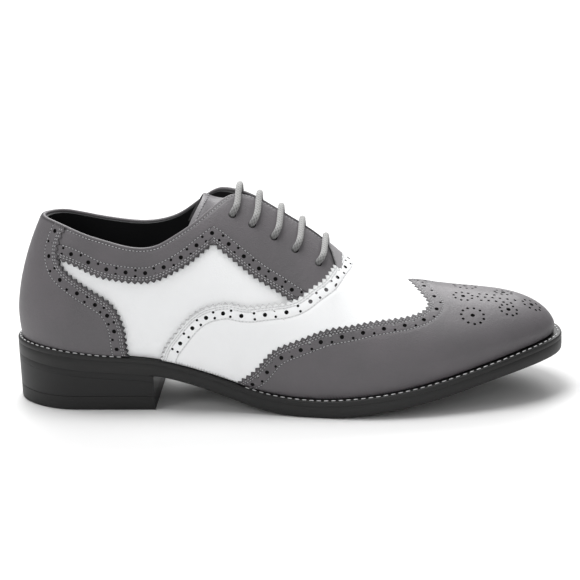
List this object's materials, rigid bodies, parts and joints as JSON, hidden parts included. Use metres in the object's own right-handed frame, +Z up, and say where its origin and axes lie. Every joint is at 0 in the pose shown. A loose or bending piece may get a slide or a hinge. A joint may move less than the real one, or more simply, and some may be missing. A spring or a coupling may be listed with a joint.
{
  "type": "spectator shoe",
  "caption": "Right two-colour wing tip Oxford shoe, grey and white leather, laced, with welted sole and stacked heel.",
  "frame": {"origin": "middle of the sole's outline in plan, on the floor that the shoe stands on", "axes": "+X from heel to toe, +Z up from the floor, +Y towards the inner side of the foot"},
  "size_m": [0.305, 0.1079, 0.1189],
  "materials": {
    "grey_leather": "smooth, semi-gloss",
    "white_leather": "smooth, semi-gloss",
    "outsole": "satin black edge",
    "welt": "satin black edge",
    "heel": "satin black",
    "insole": "matte black sock",
    "laces": "woven, waxed"
  },
  "bodies": {
    "root": {"upper": "white_leather", "vamp": "white_leather", "wing_cap": "grey_leather", "counter": "grey_leather", "facing_outer": "grey_leather", "facing_inner": "grey_leather", "tongue": "grey_leather", "welt": "welt", "outsole": "outsole", "heel": "heel", "heel_top_lift": "heel", "insole": "insole", "lace_bar_1": "laces", "lace_bar_2": "laces", "lace_bar_3": "laces", "lace_bar_4": "laces", "lace_bar_5": "laces"}
  },
  "joints": []
}
